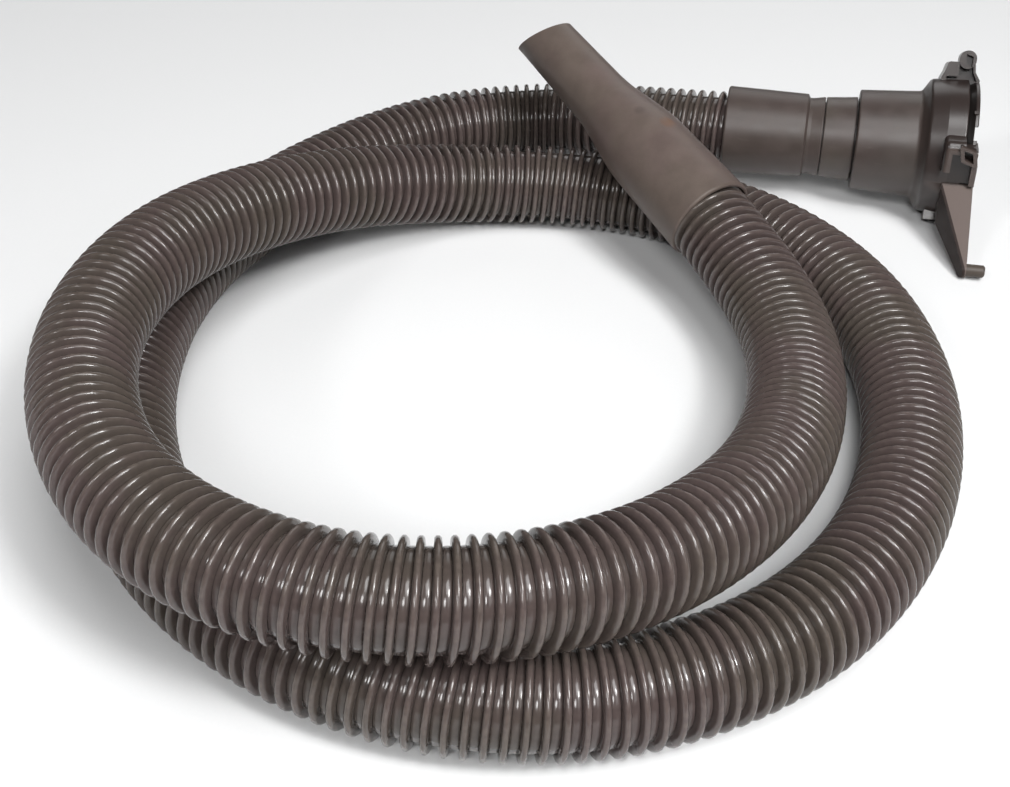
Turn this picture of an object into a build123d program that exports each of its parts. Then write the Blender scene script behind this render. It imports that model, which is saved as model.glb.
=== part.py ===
# Suction hose with a swivelling machine coupling and a tapered tool cuff.
# Millimetres, +Z up, floor at Z = 0, origin under the middle of the machine end.
# u is the distance along the swivel axis from the machine cuff's mouth.
import math
import os

from build123d import *

# ---- the hose ----
hose_od = 41.0               # over the ribs: a 1 1/4 inch bore hose
hose_wall = 3.0              # from the clear bore to the tops of the ribs
hose_r = hose_od / 2
hose_id = hose_od - 2 * hose_wall
bend_share = 0.45            # share of the shorter run that a bend takes on each side
insert_machine = 30.0        # how far the hose sits inside the machine cuff
insert_tool = 30.0           # how far it sits inside the tool cuff

# ---- the swivel axis ----
axis_x, axis_y = -70.8, 19.7 # machine cuff's mouth
axis_tilt = 2.6              # degrees, rising towards the machine

# ---- machine cuff, from its mouth at u = 0 ----
cuff_len = 43.0
cuff_wall = 1.8              # over the hose at the far end of the taper
cuff_taper = 1.3
cuff_r_end = hose_r + cuff_wall
cuff_r_mouth = cuff_r_end + cuff_taper
cuff_lip = 1.2               # rounding of the mouth
neck_len = 9.3
neck_end = cuff_len + neck_len   # the groove line

# ---- swivel collar ----
joint_gap = 0.5              # groove between neck and collar
collar_len = 16.4
collar_start = neck_end + joint_gap
collar_end = collar_start + collar_len

# ---- swivel sleeve and its bearing ----
sleeve_lap = 1.1             # how far it stands over the hose's bore, whose end it meets
sleeve_ro = hose_id / 2 + sleeve_lap
sleeve_wall = 1.7
sleeve_ri = sleeve_ro - sleeve_wall
neck_r = sleeve_ro + 1.7     # the cuff's neck and the collar over the sleeve
neck_flare_r = sleeve_ro + 2.7
collar_r0 = sleeve_ro + 2.7
collar_r1 = sleeve_ro + 3.9
bearing_gap = 0.05           # radial running clearance
bearing_len = 16.5           # the bearing land inside the socket
sleeve_past = 11.5           # how far the sleeve runs on behind the land
ring_h = 4.2                 # retaining ring, over the sleeve
ring_r = sleeve_ro + ring_h
ring_w = 3.0
seal_h = 3.4
seal_r = sleeve_ro + seal_h
seal_w = 4.0

# ---- coupling body: socket and drum ----
face_gap = 0.8               # between the collar and the socket
socket_len = 31.9
socket_start = collar_end + face_gap
socket_end = socket_start + socket_len   # foot of the sloping wall up to the drum
flange_end = socket_start + bearing_len
sleeve_end = flange_end + sleeve_past
seal_start = flange_end - seal_w - 6.5
ring_gap = 0.5               # axial play of the swivel
cavity_r = sleeve_ro + 5.4
socket_r0 = cavity_r + 2.5
socket_r1 = cavity_r + 4.1
slope_len = 4.1
drum_wall = socket_end + slope_len       # head of the sloping wall
port_r = 32.2                # socket for the machine's port
port_wall = 3.9              # the drum's wall round it
drum_r1 = port_r + port_wall
drum_r0 = drum_r1 - 1.4
drum_r2 = drum_r1 + 0.4
axis_z = drum_r1 - 4.6       # height of the cuff's mouth, with the drum on the floor
band_r = drum_r1 - 0.7       # flange at the rim
groove_r = drum_r1 - 2.4     # foot of the groove behind the flange
gasket_t = 2.3
gasket_ro = port_r - 1.2
gasket_ri = cavity_r + 1.0
gasket_seat = drum_wall + 1.0
port_floor = gasket_seat + gasket_t
drum_len = 23.7              # from the sloping wall's head to the rim
rim_end = drum_wall + drum_len
shoulder_end = drum_wall + 8.6
flange_start = rim_end - 1.8
band_start = flange_start - 3.6
slot_w = 7.6                 # notches in the rim
slot_deep = 1.8
slot_angles = (38.7, 158.7, 278.7)
nub_angles = (56.0, 176.0, 296.0)
nub_size = 2.0

# ---- lugs on the drum; angles up from the horizontal towards -Y ----
plate_end = rim_end + 1.5    # right face of the boss and the arm
boss_len = 17.6
boss_u0 = plate_end - boss_len
boss_face = drum_r1 + 3.5    # front of the boss, measured along -Y
boss_in = drum_r1 - 8.1      # how far in it starts; the drum's port cuts it back
boss_top, boss_bottom = 21.0, -2.4
boss_round = 5.0             # rounding of its top front edge
boss_step_top = 17.2         # the boss is lower over the rim
boss_side_top = 9.0          # and lower still beside it
left_rib_foot = 4.6          # the left rib stops above the arm
boss_corner = 2.6            # rounding of its left corner
rib_w = 2.8                  # right rib of the boss
left_rib_w = 4.4
hollow_deep = 3.7            # hollow between the ribs
hollow_top = 14.3
latch_proud = 1.2            # how far the latch eye stands out from the boss
latch_thick = 4.6
latch_deep = 4.6             # depth of its recess
front_latch = (rim_end - 3.7, 14.6)   # (u, up) of the latch eye on the boss
latch_mouth = (4.5, 5.5)
latch_mouth_up = 0.5         # how far the mouth sits above the eye's middle
latch_out = (8.7, 8.9)
latch_drop = 0.34            # slope of its top and bottom, down to the right
latch_lean = 0.2             # lean of its sides
top_lug_angle = 114.0
top_lug_w = 17.0
top_lug_r = drum_r1 + 8.2
top_lug_foot = (rim_end - 19.7, rim_end - 0.1)
top_lug_head = (rim_end - 16.8, rim_end - 3.3)
top_rib_w = 5.6              # left rib of the top lug
top_hollow_deep = 6.0        # hollow between its ribs
top_gap = 2.0                # slot between the lug's face and the drum
eye_r = 4.3
eye_len = 9.6
eye_u, eye_at = rim_end - 7.4, top_lug_r + 1.8   # centre of its round top
eye_drop = 0.9               # how far its sides run down from there
eye_mouth = (3.4, 5.2)
low_lug_angle = -57.0
low_lug_w = 11.5
low_lug_r = drum_r1 + 3.7
low_lug_len = 8.0
low_lug_u0 = drum_wall + 4.5
low_lug_u1 = low_lug_u0 + low_lug_len

# ---- interlock arm and pin ----
arm_root = (boss_face - 2.6, -3.2)    # (towards -Y, up) from the axis: top of the arm at the boss
arm_reach = (34.9, -29.5)    # from there to the tip's centre
arm_tip = (arm_root[0] + arm_reach[0], arm_root[1] + arm_reach[1])
arm_low = (drum_r1 - 9.1, -20.8)      # where the lower edge meets the drum
arm_u_root = plate_end - 15.6         # left edge at the boss
arm_u_tip = plate_end - 2.3           # left edge at the tip
arm_wall = 2.2
pin_r = 3.2
tip_r = pin_r + 0.7          # round tip that carries it
pin_len = 9.3
pin_end = plate_end + pin_len
spigot_r = pin_r - 1.0       # the pin's spigot, set into the tip
spigot_len = 1.8

# ---- tool cuff; distances along its own axis from its mouth ----
tool_pos = (-67.4, -103.4, 43.8)
tool_dir = (-0.6962, 0.6652, 0.2698)
tool_wall = 1.8              # over the hose at the mouth
tool_grip_wall = 0.6         # the same at the end of the grip
tool_r_mouth = hose_r + tool_wall
tool_r_grip = hose_r + tool_grip_wall
tool_grip_end = 56.4
tool_r_nose = 15.5
tool_shoulder = 33.3         # from the grip to the nose
tool_nose_start = tool_grip_end + tool_shoulder
tool_r_tip = tool_r_nose - 1.25
tool_round = 90.0            # smooth change from grip to shoulder to nose
tool_nose_len = 58.3
tool_tip = tool_nose_start + tool_nose_len   # middle of the slanted end
tool_slant = 31.0            # degrees off square, long side below
tool_nose_wall = 2.05
tool_bore = tool_r_tip - tool_nose_wall
tool_lip = 1.4

os.makedirs("parts", exist_ok=True)

tilt = math.radians(axis_tilt)
ax_dir = Vector(math.cos(tilt), 0, math.sin(tilt))
ax_pos = Vector(axis_x, axis_y, axis_z)
swivel = Axis(ax_pos, ax_dir)
# half plane through the axis: local x is u, local y is the radius
side = Plane(origin=ax_pos, x_dir=ax_dir, z_dir=(0, -1, 0))


def across(u):
    """Plane square to the axis at u: local x towards -Y, local y up, normal back to the hose."""
    return Plane(origin=ax_pos + ax_dir * u, x_dir=(0, -1, 0), z_dir=-ax_dir)


def near(items, *points):
    """The item nearest to each local point."""
    return [min(items, key=lambda s: (s.center() - Vector(*p)).length) for p in points]


def near_edge(items, point):
    """The edge whose middle is nearest to a point in space."""
    return min(items, key=lambda s: (s.center() - point).length)


def leaning(w, h, lean=0.0):
    """Corners of an upright shape with sloping top and bottom and leaning sides."""
    d, e = latch_drop * w / 2, lean * h / 2
    return [(-w / 2 - e, h / 2 + d), (w / 2 - e, h / 2 - d),
            (w / 2 + e, -h / 2 - d), (-w / 2 + e, -h / 2 + d)]


def out(piece, name, rgb):
    piece.part.label = name
    piece.part.color = Color(*rgb)
    export_step(piece.part, f"parts/{name}.step")
    print(name, "volume", round(piece.part.volume, 1), "valid", piece.part.is_valid)


taupe = (0.30, 0.27, 0.25)
dark = (0.10, 0.10, 0.11)

# ---- hose: one tube along straight runs joined by tangent bends ----
tool_at = Vector(*tool_pos)
tool_ax = Vector(*tool_dir).normalized()
route = [
    tuple(ax_pos + ax_dir * insert_machine),
    tuple(ax_pos - ax_dir * 37.8),
    (-177.2, 28.7, hose_r), (-240.2, -8.2, hose_r), (-288.2, -85.7, hose_r),
    (-313.4, -178.6, hose_r), (-296.6, -274.5, hose_r), (-249.2, -352.0, hose_r),
    (-172.0, -394.6, hose_r), (-90.0, -396.3, hose_r), (-17.6, -354.4, hose_r),
    (24.2, -285.1, hose_r), (33.6, -198.4, hose_r), (10.0, -118.2, hose_r),
    (-44.3, -63.1, hose_r), (-123.8, -42.5, hose_r),
    (-201.4, -60.1, 22.0), (-261.2, -122.4, 42.9), (-298.5, -215.0, 62.1),
    (-294.5, -304.5, 64.7), (-243.5, -379.1, 63.4), (-159.6, -407.6, 64.9),
    (-76.4, -377.0, 61.0), (-25.1, -292.9, 41.0), (-14.8, -200.7, 29.4),
    tuple(tool_at - tool_ax * 36.5),
    tuple(tool_at + tool_ax * insert_tool),
]
radii = []
for a, b, c in zip(route, route[1:], route[2:]):
    into, off = Vector(*b) - Vector(*a), Vector(*c) - Vector(*b)
    turn = math.radians(into.get_angle(off))
    radii.append(bend_share * min(into.length, off.length) / math.tan(turn / 2))
print("bend radii", [round(r) for r in radii])
with BuildPart() as hose:
    with BuildLine() as run:
        FilletPolyline(*route, radius=radii)
    path = run.wire()
    with BuildSketch(Plane(origin=path @ 0, z_dir=path % 0)):
        Circle(hose_r)
        Circle(hose_id / 2, mode=Mode.SUBTRACT)
    sweep(path=path)
section = math.pi * (hose_od**2 - hose_id**2) / 4
print("hose length", round(path.length, 1), "volume over section x length",
      round(hose.part.volume / (section * path.length), 4))
out(hose, "hose", taupe)

# ---- machine cuff: tapered grip with a neck, bored for the hose and the sleeve ----
with BuildPart() as machine_cuff:
    with BuildSketch(side):
        with BuildLine():
            Polyline(
                (0, hose_r), (0, cuff_r_mouth), (cuff_len, cuff_r_end),
                (cuff_len + 1.2, neck_r), (cuff_len + 3, neck_r),
                (neck_end, neck_flare_r), (neck_end, sleeve_ro),
                (insert_machine, sleeve_ro), (insert_machine, hose_r), close=True,
            )
        make_face()
        fillet(near(vertices(), (0, cuff_r_mouth)), cuff_lip)
        fillet(near(vertices(), (0, hose_r), (cuff_len, cuff_r_end), (neck_end, neck_flare_r)), 0.5)
    revolve(axis=swivel)
out(machine_cuff, "machine_cuff", taupe)

# ---- swivel collar: tapered ring behind the groove ----
with BuildPart() as swivel_collar:
    with BuildSketch(side):
        with BuildLine():
            Polyline((collar_start, sleeve_ro), (collar_start, collar_r0),
                     (collar_end, collar_r1), (collar_end, sleeve_ro), close=True)
        make_face()
        fillet(near(vertices(), (collar_start, collar_r0), (collar_end, collar_r1)), 0.6)
    revolve(axis=swivel)
out(swivel_collar, "swivel_collar", taupe)

# ---- swivel sleeve: the tube that the coupling turns on ----
with BuildPart() as swivel_sleeve:
    with BuildSketch(side):
        with BuildLine():
            Polyline((insert_machine, sleeve_ri), (insert_machine, sleeve_ro),
                     (sleeve_end, sleeve_ro), (sleeve_end, sleeve_ri), close=True)
        make_face()
        fillet(near(vertices(), (sleeve_end, sleeve_ro), (sleeve_end, sleeve_ri)), 0.5)
    revolve(axis=swivel)
out(swivel_sleeve, "swivel_sleeve", taupe)

# ---- retaining ring: holds the sleeve in the socket ----
with BuildPart() as retaining_ring:
    with BuildSketch(side):
        with Locations((flange_end + ring_gap + ring_w / 2, (sleeve_ro + ring_r) / 2)):
            Rectangle(ring_w, ring_r - sleeve_ro)
        fillet(near(vertices(), (flange_end + ring_gap + ring_w, ring_r)), 0.8)
    revolve(axis=swivel)
out(retaining_ring, "retaining_ring", dark)

# ---- sleeve seal: ring in a groove of the socket ----
with BuildPart() as sleeve_seal:
    with BuildSketch(side):
        with Locations((seal_start + seal_w / 2, (sleeve_ro + bearing_gap + seal_r) / 2)):
            Rectangle(seal_w, seal_r - sleeve_ro - bearing_gap)
    revolve(axis=swivel)
out(sleeve_seal, "sleeve_seal", dark)

# ---- coupling body: socket, drum, lugs and interlock arm in one moulding ----
land_r = sleeve_ro + bearing_gap
with BuildPart() as coupling_body:
    with BuildSketch(side):
        with BuildLine():
            Polyline(
                (socket_start, land_r), (socket_start, socket_r0), (socket_end, socket_r1),
                (drum_wall, drum_r0), (shoulder_end, drum_r1), (band_start, drum_r2),
                (band_start, groove_r), (flange_start, band_r), (rim_end, band_r),
                (rim_end, port_r),
                (port_floor, port_r), (port_floor, gasket_ro), (gasket_seat, gasket_ro),
                (gasket_seat, cavity_r), (flange_end, cavity_r), (flange_end, land_r),
                close=True,
            )
        make_face()
        fillet(near(vertices(), (socket_start, socket_r0)), 1.0)
        fillet(near(vertices(), (socket_end, socket_r1)), 2.6)
        fillet(near(vertices(), (drum_wall, drum_r0)), 2.2)
        fillet(near(vertices(), (band_start, drum_r2)), 0.8)
        fillet(near(vertices(), (rim_end, band_r)), 0.6)
        with Locations((seal_start + seal_w / 2, (land_r + seal_r) / 2)):
            Rectangle(seal_w, seal_r - land_r, mode=Mode.SUBTRACT)
    revolve(axis=swivel)

    # top lug: block with flared feet and a latch eye standing on its outer corner
    lug_turn = math.radians(top_lug_angle)
    lug_up = Vector(0, -1, 0) * math.cos(lug_turn) + side.y_dir * math.sin(lug_turn)
    lug_front = Vector(0, -1, 0) * math.sin(lug_turn) - side.y_dir * math.cos(lug_turn)
    lug_side = Plane(origin=ax_pos, x_dir=ax_dir, z_dir=lug_front)
    foot_r = port_r + 0.8
    with BuildSketch(lug_side):
        with BuildLine():
            Polyline((top_lug_foot[0], foot_r), (top_lug_foot[0], drum_r1),
                     (top_lug_head[0] - 1.4, drum_r1 + 3.2), (top_lug_head[0], top_lug_r),
                     (top_lug_head[1], top_lug_r), (top_lug_head[1] + 0.6, drum_r1 + 3.2),
                     (top_lug_foot[1], band_r), (top_lug_foot[1], foot_r), close=True)
        make_face()
        fillet(near(vertices(), (top_lug_head[0], top_lug_r), (top_lug_head[1], top_lug_r)), 1.5)
    extrude(amount=top_lug_w / 2, both=True)
    eye_face = Plane(origin=lug_side.origin + lug_front * (top_lug_w / 2 + 0.6),
                     x_dir=ax_dir, z_dir=lug_front)
    with BuildSketch(eye_face):
        with Locations((eye_u, eye_at - eye_drop / 2)):
            SlotCenterToCenter(eye_drop, 2 * eye_r, rotation=90)
    extrude(amount=-eye_len)
    lug_face = Plane(origin=ax_pos + lug_front * top_lug_w / 2, x_dir=ax_dir, z_dir=lug_front)
    lug_low = math.sqrt(drum_r1 ** 2 - (top_lug_w / 2) ** 2) - 0.3
    with BuildSketch(lug_face):
        with BuildLine():
            Polyline((top_lug_head[0] - 0.4, lug_low), (top_lug_head[1] + 1.6, lug_low),
                     (top_lug_head[1] - 0.6, lug_low + 4.5), (top_lug_head[1] - 1.0, top_lug_r - 1.4),
                     (top_lug_head[0] + top_rib_w, top_lug_r - 1.6),
                     (top_lug_head[0] + top_rib_w, lug_low + top_gap),
                     (top_lug_head[0] - 0.4, lug_low + top_gap), close=True)
        make_face()
        with Locations((eye_u, eye_at - eye_drop / 2)):
            SlotCenterToCenter(eye_drop, 2 * eye_r, rotation=90, mode=Mode.SUBTRACT)
    extrude(amount=-top_hollow_deep, mode=Mode.SUBTRACT)
    mouth = Plane(origin=eye_face.origin + ax_dir * (eye_u + 0.8) + lug_up * (eye_at - 0.9),
                  x_dir=ax_dir, z_dir=lug_front)
    with BuildSketch(mouth):
        with BuildLine():
            Polyline(*leaning(*eye_mouth), close=True)
        make_face()
    extrude(amount=-latch_deep, mode=Mode.SUBTRACT)

    # low lug
    with BuildSketch(across(low_lug_u1)):
        with Locations(Rotation(0, 0, low_lug_angle - 90)):
            with Locations((0, (port_r + 1 + low_lug_r) / 2)):
                Rectangle(low_lug_w, low_lug_r - port_r - 1)
    extrude(amount=low_lug_u1 - low_lug_u0)

    # front boss: two ribs with a hollow between them, open below
    boss_steps = ((band_start - 0.3, boss_u0, boss_top, boss_round),
                  (rim_end + 0.7, band_start - 0.3, boss_step_top, 2.0),
                  (plate_end, rim_end + 0.7, boss_side_top, 2.0))
    for u1, u0, top, edge_r in boss_steps:
        with BuildSketch(across(u1)):
            with BuildLine():
                Polyline((boss_in, boss_bottom), (boss_face, boss_bottom), (boss_face, top),
                         (boss_in, top), close=True)
            make_face()
            fillet(near(vertices(), (boss_face, top)), edge_r)
            Circle(port_r + 1, mode=Mode.SUBTRACT)
        extrude(amount=u1 - u0)
    corner = side.origin + ax_dir * boss_u0 + Vector(0, -boss_face, 0) + side.y_dir * 4
    fillet(near_edge(coupling_body.edges(), corner), boss_corner)
    boss_front = Plane(origin=ax_pos + Vector(0, -boss_face, 0), x_dir=ax_dir, z_dir=(0, -1, 0))
    with BuildSketch(boss_front):
        with BuildLine():
            Polyline((boss_u0 - 1, boss_bottom - 1), (plate_end - rib_w, boss_bottom - 1),
                     (plate_end - rib_w, hollow_top), (boss_u0 + left_rib_w, hollow_top + 0.8),
                     (boss_u0 + left_rib_w, left_rib_foot), (boss_u0 - 1, left_rib_foot),
                     close=True)
        make_face()
    extrude(amount=-hollow_deep, mode=Mode.SUBTRACT)

    # latch eye on the boss, beside the right rib
    latch_face = Plane(origin=boss_front.origin + ax_dir * front_latch[0]
                       + side.y_dir * front_latch[1] + Vector(0, -latch_proud, 0),
                       x_dir=ax_dir, z_dir=(0, -1, 0))
    with BuildSketch(latch_face):
        with BuildLine():
            Polyline(*leaning(*latch_out, latch_lean), close=True)
        make_face()
        fillet(vertices(), 0.8)
    extrude(amount=-latch_thick)
    with BuildSketch(latch_face):
        with BuildLine():
            Polyline(*leaning(*latch_mouth, latch_lean), close=True)
        with Locations((0, latch_mouth_up)):
            make_face()
    extrude(amount=-latch_deep, mode=Mode.SUBTRACT)

    # interlock arm: a plate over a web, narrowing to the tip
    slope = math.atan2(arm_tip[1] - arm_root[1], arm_tip[0] - arm_root[0])
    top_tip = (arm_tip[0] - tip_r * math.sin(slope), arm_tip[1] + tip_r * math.cos(slope))
    low_tip = (arm_tip[0], arm_tip[1] - tip_r)
    with BuildSketch(across(plate_end)):
        with BuildLine():
            Polyline(arm_root, top_tip, arm_tip, low_tip, arm_low, (arm_low[0] + 3, arm_root[1]),
                     close=True)
        make_face()
        with Locations(arm_tip):
            Circle(tip_r)
        Circle(port_r + 1, mode=Mode.SUBTRACT)
    extrude(amount=plate_end - arm_u_root)
    # left side cut away on a slant
    top_view = Plane(origin=ax_pos, x_dir=ax_dir, z_dir=side.y_dir)
    reach_tip = -(arm_tip[0] + tip_r + 2)
    grow = (arm_u_tip - arm_u_root) / (arm_tip[0] - arm_root[0])
    with BuildSketch(top_view):
        with BuildLine():
            Polyline((arm_u_root - 20, -boss_face), (arm_u_root, -boss_face),
                     (arm_u_root + grow * (-reach_tip - boss_face), reach_tip),
                     (arm_u_root - 20, reach_tip), close=True)
        make_face()
    extrude(amount=-60, mode=Mode.SUBTRACT)
    # hollow under the plate, open below
    reach = 20.0
    with BuildSketch(Plane(origin=ax_pos + Vector(0, -arm_root[0] - 4, 0)
                           + side.y_dir * (arm_root[1] + 4 * math.tan(slope) - arm_wall * 1.3),
                           x_dir=ax_dir, z_dir=ax_dir.cross(arm_out := Vector(0, -math.cos(slope), 0)
                                                            + side.y_dir * math.sin(slope)))):
        with BuildLine():
            Polyline((arm_u_root + 4.6, 0), (plate_end - arm_wall, 0), (plate_end - arm_wall, reach),
                     (arm_u_root + 4.6 + grow * reach * math.cos(slope), reach), close=True)
        make_face()
    extrude(amount=45, dir=-side.y_dir, mode=Mode.SUBTRACT)
    # seat for the pin
    with BuildSketch(across(plate_end)):
        with Locations(arm_tip):
            Circle(spigot_r)
    extrude(amount=spigot_len, mode=Mode.SUBTRACT)

    # notches and small nubs round the rim
    with BuildSketch(across(rim_end)):
        for a in slot_angles:
            with Locations(Rotation(0, 0, a)):
                with Locations((band_r, 0)):
                    Rectangle(8.0, slot_w)
    extrude(amount=slot_deep, mode=Mode.SUBTRACT)
    with BuildSketch(across(rim_end - 0.8)):
        for a in nub_angles:
            with Locations(Rotation(0, 0, a)):
                with Locations((band_r, 0)):
                    Rectangle(nub_size, nub_size)
    extrude(amount=nub_size)
out(coupling_body, "coupling_body", taupe)

# ---- face gasket in the floor of the drum ----
with BuildPart() as face_gasket:
    with BuildSketch(side):
        with Locations(((gasket_seat + port_floor) / 2, (gasket_ri + gasket_ro) / 2)):
            Rectangle(port_floor - gasket_seat, gasket_ro - gasket_ri)
    revolve(axis=swivel)
out(face_gasket, "face_gasket", dark)

# ---- interlock pin in the arm's tip ----
with BuildPart() as interlock_pin:
    with BuildSketch(across(pin_end)):
        with Locations(arm_tip):
            Circle(pin_r)
    extrude(amount=pin_end - plate_end)
    chamfer(interlock_pin.edges().sort_by(swivel)[-1], 0.8)
    with BuildSketch(across(plate_end)):
        with Locations(arm_tip):
            Circle(spigot_r)
    extrude(amount=spigot_len)
out(interlock_pin, "interlock_pin", taupe)

# ---- tool cuff: tapered grip, shoulder and nose with a slanted end ----
tool_flat = Vector(0, 0, 1).cross(tool_ax).normalized()
tool_side = Plane(origin=tool_at, x_dir=tool_ax, z_dir=tool_flat)
tool_axis = Axis(tool_at, tool_ax)
long_end = tool_tip + tool_r_tip * math.tan(math.radians(tool_slant)) + 4
with BuildPart() as tool_cuff:
    with BuildSketch(tool_side):
        with BuildLine():
            Polyline(
                (0, hose_r), (0, tool_r_mouth), (tool_grip_end, tool_r_grip),
                (tool_nose_start, tool_r_nose), (tool_tip, tool_r_tip), (long_end, tool_r_tip),
                (long_end, tool_bore), (tool_nose_start + 4, tool_bore),
                (tool_grip_end + 2, hose_id / 2), (insert_tool, hose_id / 2),
                (insert_tool, hose_r), close=True,
            )
        make_face()
        fillet(near(vertices(), (0, tool_r_mouth)), tool_lip)
        fillet(near(vertices(), (tool_grip_end, tool_r_grip), (tool_nose_start, tool_r_nose)),
               tool_round)
    revolve(axis=tool_axis)
    slant = math.radians(tool_slant)
    cut_dir = tool_ax * math.cos(slant) - tool_side.y_dir * math.sin(slant)
    split(bisect_by=Plane(origin=tool_at + tool_ax * tool_tip, z_dir=cut_dir), keep=Keep.BOTTOM)
out(tool_cuff, "tool_cuff", taupe)

pieces = [machine_cuff, swivel_collar, swivel_sleeve, retaining_ring, sleeve_seal,
          coupling_body, face_gasket, interlock_pin]
box = Compound(children=[p.part for p in pieces]).bounding_box()
print("machine end box", box.min, box.max)
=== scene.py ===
"""A ribbed suction hose with a swivelling machine coupling and a tapered tool cuff.

It lies on the floor in two loops.
"""

import math

import bmesh
import bpy
import numpy as np
from mathutils import Matrix, Vector


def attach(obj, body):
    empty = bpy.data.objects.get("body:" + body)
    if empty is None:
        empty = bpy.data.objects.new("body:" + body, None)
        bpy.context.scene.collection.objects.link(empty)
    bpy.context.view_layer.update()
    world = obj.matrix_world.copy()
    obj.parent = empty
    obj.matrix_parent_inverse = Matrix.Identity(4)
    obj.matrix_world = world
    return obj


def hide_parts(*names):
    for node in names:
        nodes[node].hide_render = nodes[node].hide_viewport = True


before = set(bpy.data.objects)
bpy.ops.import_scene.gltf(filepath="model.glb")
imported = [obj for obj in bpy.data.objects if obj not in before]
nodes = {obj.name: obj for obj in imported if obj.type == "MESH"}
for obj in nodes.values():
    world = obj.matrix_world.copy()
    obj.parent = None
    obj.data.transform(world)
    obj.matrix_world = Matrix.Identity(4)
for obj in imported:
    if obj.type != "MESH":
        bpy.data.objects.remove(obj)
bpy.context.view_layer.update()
scene = bpy.context.scene

# --- Camera ---------------------------------------------------------------
# It stands in front of the loops, a little to their right, and looks down
# on them at about 38 degrees.
camera_place = (-0.0442, -0.6819, 0.3751)
camera_turn = math.radians(11.88)       # to the left of straight back
camera_tilt = math.radians(37.614)      # down from the level
camera_roll = math.radians(1.569)
camera_data = bpy.data.cameras.new("camera")
camera_data.sensor_width = 36.0
camera_data.lens = 48.63
camera_data.clip_start = 0.01
camera = bpy.data.objects.new("camera", camera_data)
scene.collection.objects.link(camera)
camera.matrix_world = (
    Matrix.Translation(camera_place)
    @ Matrix.Rotation(camera_turn, 4, "Z")
    @ Matrix.Rotation(math.pi / 2 - camera_tilt, 4, "X")
    @ Matrix.Rotation(camera_roll, 4, "Z")
)
scene.camera = camera

# --- Hose route -----------------------------------------------------------
# The hose leaves the machine cuff, lies round one loop on the floor, climbs
# over itself at the back left, and goes round again to the tool cuff.
hose_d = 0.041
hose_r = hose_d / 2
cuff_mouth = Vector((-0.0708, 0.0197, 0.0315))
hose_route = [
    (-0.04083, 0.0197, 0.03286), (-0.10856, 0.0197, 0.02979),
    (-0.1772, 0.0287, hose_r), (-0.2402, -0.0082, hose_r), (-0.2882, -0.0857, hose_r),
    (-0.3134, -0.1786, hose_r), (-0.2966, -0.2745, hose_r), (-0.2492, -0.3520, hose_r),
    (-0.1720, -0.3946, hose_r), (-0.0900, -0.3963, hose_r), (-0.0176, -0.3544, hose_r),
    (0.0242, -0.2851, hose_r), (0.0336, -0.1984, hose_r), (0.0100, -0.1182, hose_r),
    (-0.0443, -0.0631, hose_r), (-0.1238, -0.0425, hose_r),
    (-0.2014, -0.0601, 0.0220), (-0.2612, -0.1224, 0.0429), (-0.2985, -0.2150, 0.0621),
    (-0.2945, -0.3045, 0.0647), (-0.2435, -0.3791, 0.0634), (-0.1596, -0.4076, 0.0649),
    (-0.0764, -0.3770, 0.0610), (-0.0251, -0.2929, 0.0410), (-0.0148, -0.2007, 0.0294),
    (-0.0420, -0.1277, 0.0340), (-0.0883, -0.0834, 0.0519),
]
route_curve = bpy.data.curves.new("hose_route", "CURVE")
route_curve.dimensions = "3D"
spline = route_curve.splines.new("NURBS")
spline.points.add(len(hose_route) - 1)
for point, place in zip(spline.points, hose_route):
    point.co = (*place, 1.0)
spline.order_u = 3
spline.use_endpoint_u = True
spline.resolution_u = 24
route_object = bpy.data.objects.new("hose_route", route_curve)
route_mesh = bpy.data.meshes.new_from_object(route_object)
line = np.array([vertex.co for vertex in route_mesh.vertices])
bpy.data.objects.remove(route_object)
bpy.data.curves.remove(route_curve)
bpy.data.meshes.remove(route_mesh)
steps = np.linalg.norm(np.diff(line, axis=0), axis=1)
line = line[np.concatenate([[True], steps > 1e-6])]
line_along = np.concatenate([[0.0], np.cumsum(np.linalg.norm(np.diff(line, axis=0), axis=1))])
line_ahead = np.gradient(line, line_along, axis=0)
line_ahead /= np.linalg.norm(line_ahead, axis=1)[:, None]
line_side = [np.cross((0.0, 0.0, 1.0), line_ahead[0])]
for ahead in line_ahead[1:]:
    side = line_side[-1] - ahead * (line_side[-1] @ ahead)
    line_side.append(side / np.linalg.norm(side))
line_side = np.array(line_side)
line_side[0] /= np.linalg.norm(line_side[0])
run_length = float(line_along[-1])

# --- Hose wall and rib ----------------------------------------------------
# The hose is wound from one extruded strip of soft PVC: a thin, slightly
# crowned web whose edge carries a stiff rounded rib. Neighbouring turns are
# welded under the rib, so that the ribs run as one left-hand helix.
rib_pitch = 0.0058
rib_half = 0.0016          # half the rib's foot, which stays stiff in a bend
rib_foot = 0.0162
groove_r = 0.0159
web_r = 0.0171
skin_r = 0.0154            # inner wall
web_start = 0.0015         # along the axis, from the middle of a rib
web_end = 0.0043
skin_start = -0.0013
around = 32                # sides of a turn
weld = 2e-6                # points closer than this are one


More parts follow.
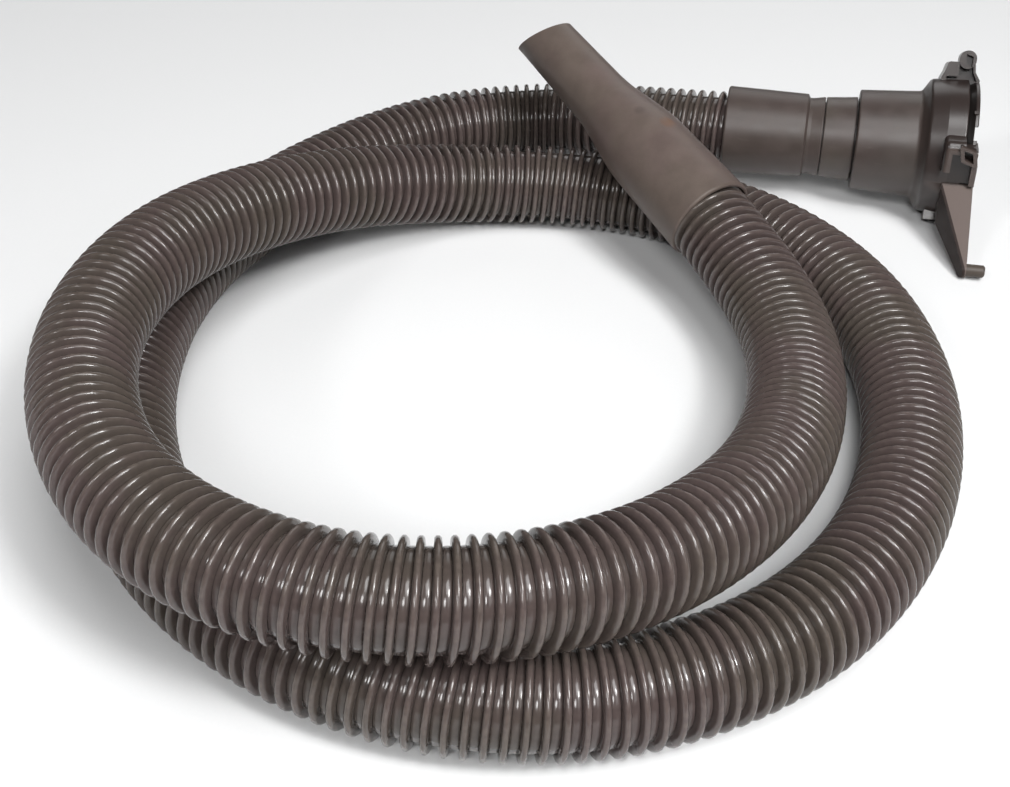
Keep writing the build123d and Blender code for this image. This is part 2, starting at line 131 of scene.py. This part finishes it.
def wind(name, outline, closed, sharp):
    """One turn of the strip's outline, screwed round the axis, repeated along it and cut square.
    Edges that turn by more than this angle stay sharp."""
    bm = bmesh.new()
    strips = []
    for points in outline:
        row = [bm.verts.new((x, r, 0.0)) for x, r in points]
        pairs = list(zip(row, row[1:] + row[:1] if closed else row[1:]))
        strips += row + [bm.edges.new(pair) for pair in pairs]
    bmesh.ops.spin(bm, geom=strips, cent=(0, 0, 0), axis=(1, 0, 0), angle=2 * math.pi,
                   dvec=(-rib_pitch / around, 0, 0), steps=around, use_merge=False)
    length = rib_pitch
    while length < run_length + 3 * rib_pitch:
        copy = bmesh.ops.duplicate(bm, geom=bm.verts[:] + bm.edges[:] + bm.faces[:])["geom"]
        copied = [item for item in copy if isinstance(item, bmesh.types.BMVert)]
        bmesh.ops.translate(bm, verts=copied, vec=(length, 0, 0))
        length *= 2
    for end, clear in ((0.0, "clear_inner"), (run_length, "clear_outer")):
        bmesh.ops.bisect_plane(bm, geom=bm.verts[:] + bm.edges[:] + bm.faces[:], dist=1e-7,
                               plane_co=(end, 0, 0), plane_no=(1, 0, 0), **{clear: True})
    bmesh.ops.remove_doubles(bm, verts=bm.verts[:], dist=weld)
    rims = [edge for edge in bm.edges if edge.is_boundary]
    if closed:
        bmesh.ops.holes_fill(bm, edges=rims, sides=0)
    else:
        for end in (0.0, run_length):
            rim = [edge for edge in rims if abs(edge.verts[0].co.x - end) < 1e-5]
            bmesh.ops.bridge_loops(bm, edges=rim)
    bmesh.ops.recalc_face_normals(bm, faces=bm.faces[:])
    for face in bm.faces:
        face.smooth = True
    for edge in bm.edges:
        edge.smooth = edge.calc_face_angle(0.0) < sharp
    mesh = bpy.data.meshes.new(name)
    bm.to_mesh(mesh)
    bm.free()
    return mesh


def on_line(along, values):
    """The route's values at these distances along it."""
    return np.stack([np.interp(along, line_along, values[:, k]) for k in range(3)], axis=1)


def lay(mesh):
    """Bends a straight wound mesh along the route. Each rib keeps its shape, and the web between
    two ribs closes up inside a bend and opens outside it."""
    straight = np.zeros(len(mesh.vertices) * 3)
    mesh.vertices.foreach_get("co", straight)
    straight = straight.reshape(-1, 3)
    mesh.attributes.new("straight", "FLOAT_VECTOR", "POINT").data.foreach_set(
        "vector", straight.ravel())
    x, y, z = straight.T
    turn = np.arctan2(z, y) / (2 * math.pi)
    rib = (np.floor((x + rib_half) / rib_pitch + turn) - turn) * rib_pitch
    share = np.clip((x - rib - rib_half) / (rib_pitch - 2 * rib_half), 0, 1)[:, None]
    laid = np.zeros_like(straight)
    for centre, weight in ((rib, 1 - share), (rib + rib_pitch, share)):
        held = np.clip(centre, 0, run_length)
        ahead = on_line(held, line_ahead)
        ahead /= np.linalg.norm(ahead, axis=1)[:, None]
        side = on_line(held, line_side)
        side -= ahead * (side * ahead).sum(1)[:, None]
        side /= np.linalg.norm(side, axis=1)[:, None]
        up = np.cross(ahead, side)
        laid += weight * (on_line(held, line) + ahead * (x - held)[:, None]
                          + side * y[:, None] + up * z[:, None])
    mesh.vertices.foreach_set("co", laid.ravel())
    mesh.update()


wall_outline = [
    [(web_end - rib_pitch, groove_r), (web_start, groove_r), (0.0016, web_r - 0.00025),
     (0.0019, web_r - 0.00004), (0.0029, web_r), (0.0039, web_r - 0.00004),
     (0.0042, web_r - 0.00025), (web_end, groove_r)],
    [(skin_start, skin_r), (skin_start + rib_pitch, skin_r)],
]
rib_outline = [[
    (-rib_half, rib_foot), (-0.00135, 0.0182), (-0.00115, 0.0197), (-0.0005, hose_r - 0.0001),
    (0.0005, hose_r - 0.0001), (0.00115, 0.0197), (0.00135, 0.0182), (rib_half, rib_foot),
]]
wall_mesh = wind("hose_wall", wall_outline, closed=False, sharp=math.radians(38))
rib_mesh = wind("hose_rib", rib_outline, closed=True, sharp=math.radians(70))
hose_pieces = []
for mesh in (wall_mesh, rib_mesh):
    lay(mesh)
    piece = bpy.data.objects.new(mesh.name, mesh)
    scene.collection.objects.link(piece)
    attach(piece, "hose_line")
    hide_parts("hose")
    hose_pieces.append(piece)


def to_linear(colour):
    """An sRGB hex colour as linear RGBA."""
    values = [int(colour[i:i + 2], 16) / 255 for i in (1, 3, 5)]
    return [v / 12.92 if v <= 0.04045 else ((v + 0.055) / 1.055) ** 2.4 for v in values] + [1.0]


def new_material(name):
    """An empty node material and its tree."""
    material = bpy.data.materials.new(name)
    material.use_nodes = True
    material.node_tree.nodes.clear()
    return material, material.node_tree


def add(tree, kind, settings=(), **sockets):
    """A node with its settings, its input values, and links from other nodes or their sockets."""
    node = tree.nodes.new(kind)
    for key, value in dict(settings).items():
        setattr(node, key, value)
    for key, value in sockets.items():
        by_number = key[0] == "i" and key[1:].isdigit()
        socket = node.inputs[int(key[1:]) if by_number else key.replace("_", " ")]
        if isinstance(value, bpy.types.Node):
            value = next(output for output in value.outputs if output.enabled)
        if isinstance(value, bpy.types.NodeSocket):
            tree.links.new(value, socket)
        else:
            socket.default_value = value
    return node


smooth = {"interpolation_type": "SMOOTHSTEP"}
blend = {"data_type": "RGBA"}
darken = {"data_type": "RGBA", "blend_type": "MULTIPLY"}
total = {"operation": "ADD"}
product = {"operation": "MULTIPLY"}
length_of = {"operation": "LENGTH"}

# Plasticised PVC, extruded: a glossy skin, brown-grey all through. Its tone drifts a little along
# the strip, the grooves are painted darker towards their floor as shade, and the crowns of the ribs
# are rubbed lighter and duller.
# A noise of scale s varies over about 1/s metres, so these are 45 mm of drift along the strip,
# 2.4 mm of dust and rubbing, and the extruded skin's 0.7 mm of orange peel.
drift_scale, dust_scale, peel_scale = 22.0, 420.0, 1500.0
groove_shade_top = 0.0176          # the painted shade in the grooves thins out up to this radius
crown_foot = 0.0198        # the rubbed crown of a rib starts here
hose_pvc, tree = new_material("extruded soft PVC")
straight = add(tree, "ShaderNodeAttribute", {"attribute_name": "straight"}).outputs["Vector"]
split = add(tree, "ShaderNodeSeparateXYZ", Vector=straight)
across = add(tree, "ShaderNodeCombineXYZ", Y=split.outputs["Y"], Z=split.outputs["Z"])
radius = add(tree, "ShaderNodeVectorMath", length_of, Vector=across)
drift = add(tree, "ShaderNodeTexNoise", Vector=straight, Scale=drift_scale, Detail=3.0)
dust = add(tree, "ShaderNodeTexNoise", Vector=straight, Scale=dust_scale, Detail=4.0)
share = add(tree, "ShaderNodeMapRange", smooth, Value=drift, From_Min=0.38, From_Max=0.62)
tone = add(tree, "ShaderNodeMix", blend, i0=share, i6=to_linear("#4c4240"), i7=to_linear("#49423d"))
warm, blue = (add(tree, "ShaderNodeMapRange", smooth, Value=dust, From_Min=0.2, From_Max=0.8,
                  To_Min=1 - swing, To_Max=1 + swing) for swing in (0.08, 0.07))
speckle = add(tree, "ShaderNodeCombineColor", Red=warm, Green=warm, Blue=blue)
tone = add(tree, "ShaderNodeMix", darken, i0=1.0, i6=tone, i7=speckle)
# Painted shade: the strip darkens towards the floor of each groove.
groove_shade = add(tree, "ShaderNodeMapRange", smooth, Value=radius, From_Min=groove_r, From_Max=groove_shade_top,
           To_Min=0.55, To_Max=0.0)
tone = add(tree, "ShaderNodeMix", blend, i0=groove_shade, i6=tone, i7=to_linear("#1d1917"))
crown = add(tree, "ShaderNodeMapRange", smooth, Value=radius, From_Min=crown_foot, From_Max=hose_r)
rubbed = add(tree, "ShaderNodeMapRange", smooth, Value=dust, From_Min=0.3, From_Max=0.7,
             To_Min=0.05, To_Max=0.3)
share = add(tree, "ShaderNodeMath", product, i0=crown, i1=rubbed)
tone = add(tree, "ShaderNodeMix", blend, i0=share, i6=tone, i7=to_linear("#655b55"))
skin_gloss = add(tree, "ShaderNodeMapRange", smooth, Value=dust, From_Min=0.3, From_Max=0.7,
                 To_Min=0.13, To_Max=0.19)
groove_gloss = add(tree, "ShaderNodeMapRange", smooth, Value=radius, From_Min=groove_r, From_Max=web_r,
                   To_Min=0.2, To_Max=0.0)
gloss = add(tree, "ShaderNodeMath", total, i0=skin_gloss, i1=groove_gloss)
peel = add(tree, "ShaderNodeTexNoise", Vector=straight, Scale=peel_scale, Detail=2.0)
relief = add(tree, "ShaderNodeBump", Strength=0.25, Distance=0.00005, Height=peel)
shader = add(tree, "ShaderNodeBsdfPrincipled", Base_Color=tone, Roughness=gloss, IOR=1.53,
             Specular_IOR_Level=0.38, Normal=relief)
add(tree, "ShaderNodeOutputMaterial", Surface=shader)
for piece in hose_pieces:
    piece.data.materials.append(hose_pvc)

# --- Machine cuff ---------------------------------------------------------
# A rigid sleeve moulded in ABS, screwed over the hose's end; its neck runs on
# into the swivel. The mould's fine spark-eroded grain gives it a satin face.
# The grain is really about 0.1 mm and is drawn at 0.4 mm, so that it shows. The tone drifts over
# 33 mm, handling leaves clouds of 9 mm, and hairline scratches run for some 10 mm.
abs_grain = 2600.0
tone_scale, cloud_scale, scratch_scale = 30.0, 110.0, 95.0
scratch_turn, scratch_stretch = (0.3, 0.5, 0.9), (1.0, 9.0, 5.0)


def grained(name, first, second, grain_scale, shine=0.25, marks=()):
    """A grained moulding: two close tones, a fine grain, rubbed patches and hairline scratches,
    with marks given as place, radius, colour and strength."""
    material, tree = new_material(name)
    place = add(tree, "ShaderNodeTexCoord").outputs["Object"]
    drift = add(tree, "ShaderNodeTexNoise", Vector=place, Scale=tone_scale, Detail=3.0)
    cloud = add(tree, "ShaderNodeTexNoise", Vector=place, Scale=cloud_scale, Detail=5.0)
    grain = add(tree, "ShaderNodeTexNoise", Vector=place, Scale=grain_scale, Detail=2.0)
    share = add(tree, "ShaderNodeMapRange", smooth, Value=drift, From_Min=0.35, From_Max=0.65)
    tone = add(tree, "ShaderNodeMix", blend, i0=share, i6=to_linear(first), i7=to_linear(second))
    handled = add(tree, "ShaderNodeMapRange", smooth, Value=cloud, From_Min=0.25, From_Max=0.75,
                  To_Min=0.9, To_Max=1.09)
    pits = add(tree, "ShaderNodeMapRange", smooth, Value=grain, From_Min=0.2, From_Max=0.8,
               To_Min=0.94, To_Max=1.05)
    depth = add(tree, "ShaderNodeMath", product, i0=handled, i1=pits)
    tone = add(tree, "ShaderNodeVectorMath", {"operation": "SCALE"}, i0=tone, Scale=depth)
    drawn_out = add(tree, "ShaderNodeMapping", Vector=place, Rotation=scratch_turn,
                    Scale=scratch_stretch)
    streaks = add(tree, "ShaderNodeTexNoise", Vector=drawn_out, Scale=scratch_scale, Detail=4.0)
    scratch = add(tree, "ShaderNodeMapRange", smooth, Value=streaks, From_Min=0.66, From_Max=0.74,
                  To_Min=0.0, To_Max=0.3)
    tone = add(tree, "ShaderNodeMix", blend, i0=scratch, i6=tone, i7=to_linear("#60574f"))
    for where, size, colour, strength in marks:
        apart = add(tree, "ShaderNodeVectorMath", {"operation": "DISTANCE"}, i0=place, i1=where)
        spot = add(tree, "ShaderNodeMapRange", smooth, Value=apart, From_Min=size, From_Max=0.3 * size)
        patchy = add(tree, "ShaderNodeMapRange", smooth, Value=cloud, From_Min=0.3, From_Max=0.6,
                     To_Min=0.5 * strength, To_Max=strength)
        ragged = add(tree, "ShaderNodeMath", product, i0=spot, i1=patchy)
        tone = add(tree, "ShaderNodeMix", blend, i0=ragged, i6=tone, i7=to_linear(colour))
    satin = add(tree, "ShaderNodeMapRange", smooth, Value=cloud, From_Min=0.3, From_Max=0.7,
                To_Min=0.36, To_Max=0.46)
    dull = add(tree, "ShaderNodeMath", total, i0=satin, i1=scratch)
    relief = add(tree, "ShaderNodeBump", Strength=0.35, Distance=0.00006, Height=grain)
    shader = add(tree, "ShaderNodeBsdfPrincipled", Base_Color=tone, Roughness=dull, IOR=1.53,
                 Specular_IOR_Level=shine, Normal=relief)
    add(tree, "ShaderNodeOutputMaterial", Surface=shader)
    return material


def coat(name, material):
    """Gives a solid of the frame its material."""
    nodes[name].data.materials.clear()
    nodes[name].data.materials.append(material)


# ABS, injection moulded: satin grey-brown, with a cast that drifts a little from warm to neutral.
coat("machine_cuff", grained("moulded ABS", "#453c39", "#433b37", abs_grain, 0.34))

# --- Swivel collar --------------------------------------------------------
# The short ring of the hose side that the coupling turns against. It is
# moulded like the machine cuff and pressed onto the sleeve inside.
coat("swivel_collar", grained("collar ABS", "#443b38", "#423b35", abs_grain, 0.46))

# --- Swivel sleeve and its ring -------------------------------------------
# The sleeve carries the coupling as its bearing, and a ring snapped onto its
# end keeps the two together. Both are hidden and are guessed.
# Acetal, injection moulded: slippery and waxy, in grey for the sleeve and near black for the ring.
acetal_grain = 1800.0      # 0.6 mm, coarser than the ABS
coat("swivel_sleeve", grained("moulded acetal", "#4a4644", "#403d3b", acetal_grain))
coat("retaining_ring", grained("black acetal", "#1c1b1b", "#171616", acetal_grain))

# --- Sleeve seal and face gasket ------------------------------------------
# A ring seals the turning joint and a flat gasket seals the machine's port at
# the floor of the drum. Both are guessed.
# Nitrile rubber, compression moulded: black, matt, with a dusty bloom in patches of 6 mm.
bloom_scale = 160.0
seal_rubber, tree = new_material("nitrile rubber")
place = add(tree, "ShaderNodeTexCoord").outputs["Object"]
bloom = add(tree, "ShaderNodeTexNoise", Vector=place, Scale=bloom_scale, Detail=5.0)
share = add(tree, "ShaderNodeMapRange", smooth, Value=bloom, From_Min=0.4, From_Max=0.75)
tone = add(tree, "ShaderNodeMix", blend, i0=share, i6=to_linear("#1d1d1e"), i7=to_linear("#393837"))
matt = add(tree, "ShaderNodeMapRange", smooth, Value=bloom, From_Min=0.3, From_Max=0.7,
           To_Min=0.55, To_Max=0.75)
shader = add(tree, "ShaderNodeBsdfPrincipled", Base_Color=tone, Roughness=matt, IOR=1.52)
add(tree, "ShaderNodeOutputMaterial", Surface=shader)
for name in ("sleeve_seal", "face_gasket"):
    coat(name, seal_rubber)

# --- Coupling body --------------------------------------------------------
# Socket, drum, lugs, boss and interlock arm come out of one mould. The drum
# takes the machine's port, the lugs' eyes latch it, and the arm holds the pin.
# The same ABS. The drum and its lugs carry a dark oily film, thick in the groove behind the rim,
# which makes them darker and glossier. The arm is dry and dusty. Its side towards the hose is
# painted dark in the film's tone as shade, and the hollow of the boss is painted darker as shade.
# The zones' limits are in metres: along the swivel from the cuff's mouth, and out from its axis.
swivel_rise = math.radians(2.6)
film_starts = (0.1030, 0.1065)
groove_near, groove_far, groove_depth = (0.1239, 0.1244), (0.1285, 0.1280), (0.0356, 0.0351)
hollow_near, hollow_far = (0.1172, 0.1182), (0.1292, 0.1284)
hollow_mouth, hollow_top = (-0.0376, -0.0366), (0.0152, 0.0142)
boss_face = (-0.0388, -0.0394)
arm_front, arm_top = (-0.0340, -0.0365), (-0.0026, -0.0040)
arm_lean = 0.381           # how far the arm's side runs along the swivel for each metre outwards
arm_side = (0.1020, 0.1017)
film_gloss, film_shine, dust_shine = 0.28, 0.46, 0.05
body_abs = grained("coupling ABS", "#403734", "#3e3733", abs_grain, 0.45)
tree = body_abs.node_tree
shader = next(node for node in tree.nodes if node.type == "BSDF_PRINCIPLED")
place = add(tree, "ShaderNodeTexCoord").outputs["Object"]
swivel = Vector((math.cos(swivel_rise), 0.0, math.sin(swivel_rise)))
away = add(tree, "ShaderNodeVectorMath", {"operation": "SUBTRACT"}, i0=place, i1=cuff_mouth)
along = add(tree, "ShaderNodeVectorMath", {"operation": "DOT_PRODUCT"}, i0=away, i1=swivel)
foot = add(tree, "ShaderNodeVectorMath", {"operation": "SCALE"}, i0=swivel, Scale=along)
out = add(tree, "ShaderNodeVectorMath", {"operation": "SUBTRACT"}, i0=away, i1=foot)
reach = add(tree, "ShaderNodeVectorMath", length_of, i0=out)
split = add(tree, "ShaderNodeSeparateXYZ", Vector=out)
back, up = split.outputs["Y"], split.outputs["Z"]
slant = add(tree, "ShaderNodeMath", {"operation": "MULTIPLY_ADD"}, i0=back, i1=arm_lean, i2=along)


def zone(*steps):
    """A share of the surface: whole where each value has gone from its first limit to its last."""
    share = None
    for value, (first, last) in steps:
        step = add(tree, "ShaderNodeMapRange", smooth, Value=value, From_Min=first, From_Max=last)
        share = step if share is None else add(tree, "ShaderNodeMath", product, i0=share, i1=step)
    return share


dusty = zone((back, arm_front), (up, arm_top))
film = zone((along, film_starts), (dusty, (1.0, 0.0)))
caked = zone((along, groove_near), (along, groove_far), (reach, groove_depth))
# Painted shade: the hollow of the boss is darkened.
hollow_shade = add(tree, "ShaderNodeMath", product, i0=zone((along, hollow_near), (along, hollow_far)),
             i1=zone((back, hollow_mouth), (up, hollow_top)))
worn = zone((back, boss_face))
# Painted shade: the arm's side towards the hose is darkened to the film's tone.
flank_shade = add(tree, "ShaderNodeMath", product, i0=dusty, i1=zone((slant, arm_side)))
tone = shader.inputs["Base Color"].links[0].from_socket
# The colours for the hollow and for the arm's side are painted shade.
for share, colour in ((film, "#2f2826"), (worn, "#463c38"), (hollow_shade, "#241e1c"),
                      (dusty, "#625854"), (flank_shade, "#2f2826"), (caked, "#151211")):
    tone = add(tree, "ShaderNodeMix", blend, i0=share, i6=tone, i7=to_linear(colour)).outputs[2]
tree.links.new(tone, shader.inputs["Base Color"])
dull = shader.inputs["Roughness"].links[0].from_socket
dull = add(tree, "ShaderNodeMix", i0=film, i2=dull, i3=film_gloss).outputs[0]
tree.links.new(dull, shader.inputs["Roughness"])
shine = add(tree, "ShaderNodeMapRange", smooth, Value=dusty, To_Min=film_shine, To_Max=dust_shine)
tree.links.new(shine.outputs["Result"], shader.inputs["Specular IOR Level"])
coat("coupling_body", body_abs)

# --- Interlock pin --------------------------------------------------------
# A plain round pin with a chamfered end, moulded in the same ABS and pressed
# into the arm's tip.
coat("interlock_pin", grained("pin ABS", "#473e38", "#453e38", abs_grain, 0.25))

# --- Tool cuff ------------------------------------------------------------
# A hand grip over the hose's other end, a shoulder, and a tapered nose cut off
# at a slant. It is one moulding, and has picked up a stain and a few nicks.
tool_marks = (
    ((-0.0951, -0.0734, 0.0772), 0.0052, "#654835", 0.8),
    ((-0.1097, -0.0689, 0.0795), 0.0040, "#423a36", 0.5),
    ((-0.0796, -0.0747, 0.0702), 0.0016, "#2c2624", 0.9),
    ((-0.0730, -0.0753, 0.0660), 0.0024, "#28221f", 0.9),
    ((-0.0637, -0.0854, 0.0612), 0.0022, "#2b2522", 0.9),
)
coat("tool_cuff", grained("tool cuff ABS", "#5b4f4b", "#5a504a", abs_grain, 0.18, tool_marks))

# --- Floor ----------------------------------------------------------------
# A wide sheet of white paper, laid out flat; the hose lies on it a hair above
# its face, and nothing else touches it.
floor_reach = 4.0
floor_mesh = bpy.data.meshes.new("floor")
bm = bmesh.new()
bmesh.ops.create_grid(bm, x_segments=8, y_segments=8, size=floor_reach)
bm.to_mesh(floor_mesh)
bm.free()
floor = bpy.data.objects.new("floor", floor_mesh)
scene.collection.objects.link(floor)
# Paper, calendered: matt and white, with a faint tooth, drawn coarse at 1.4 mm so that it shows.
tooth_scale = 700.0
floor_paper, tree = new_material("white paper")
place = add(tree, "ShaderNodeTexCoord").outputs["Object"]
tooth = add(tree, "ShaderNodeTexNoise", Vector=place, Scale=tooth_scale, Detail=3.0)
tone = add(tree, "ShaderNodeMix", blend, i0=tooth, i6=to_linear("#dadbdc"), i7=to_linear("#dedede"))
shader = add(tree, "ShaderNodeBsdfPrincipled", Base_Color=tone, Roughness=0.9, IOR=1.45)
add(tree, "ShaderNodeOutputMaterial", Surface=shader)
floor_mesh.materials.append(floor_paper)

# --- Light ----------------------------------------------------------------
# A large soft box overhead does most of it, with weaker ones at the front right
# and behind. Three smaller boxes make the highlights: one in front, one near
# at the front right, and one far off at the front left.
lamps_aim = Vector((-0.1, -0.2, 0.05))
room_light = 0.01
world = bpy.data.worlds.new("studio")
scene.world = world
world.use_nodes = True
world.node_tree.nodes["Background"].inputs["Color"].default_value = (1, 1, 1, 1)
world.node_tree.nodes["Background"].inputs["Strength"].default_value = room_light
scene.view_settings.view_transform = "Standard"
for name, place, size, power in (
    ("overhead box", (0.45, -0.9, 2.24), 1.1, 34.0),
    ("right front box", (1.2, -1.5, 1.59), 1.1, 10.0),
    ("rear box", (-0.2, 1.8, 1.3), 1.4, 9.0),
    ("front box", (-0.02, -1.93, 1.5), 0.5, 19.0),
    ("near box", (0.62, -0.86, 1.25), 0.3, 13.7),
    ("far box", (-4.0, -5.9, 5.6), 1.2, 130.0),
):
    lamp = bpy.data.lights.new(name, "AREA")
    lamp.shape = "SQUARE"
    lamp.size = size
    lamp.energy = power
    light = bpy.data.objects.new(name, lamp)
    scene.collection.objects.link(light)
    light.location = place
    light.rotation_euler = (lamps_aim - Vector(place)).to_track_quat("-Z", "Y").to_euler()
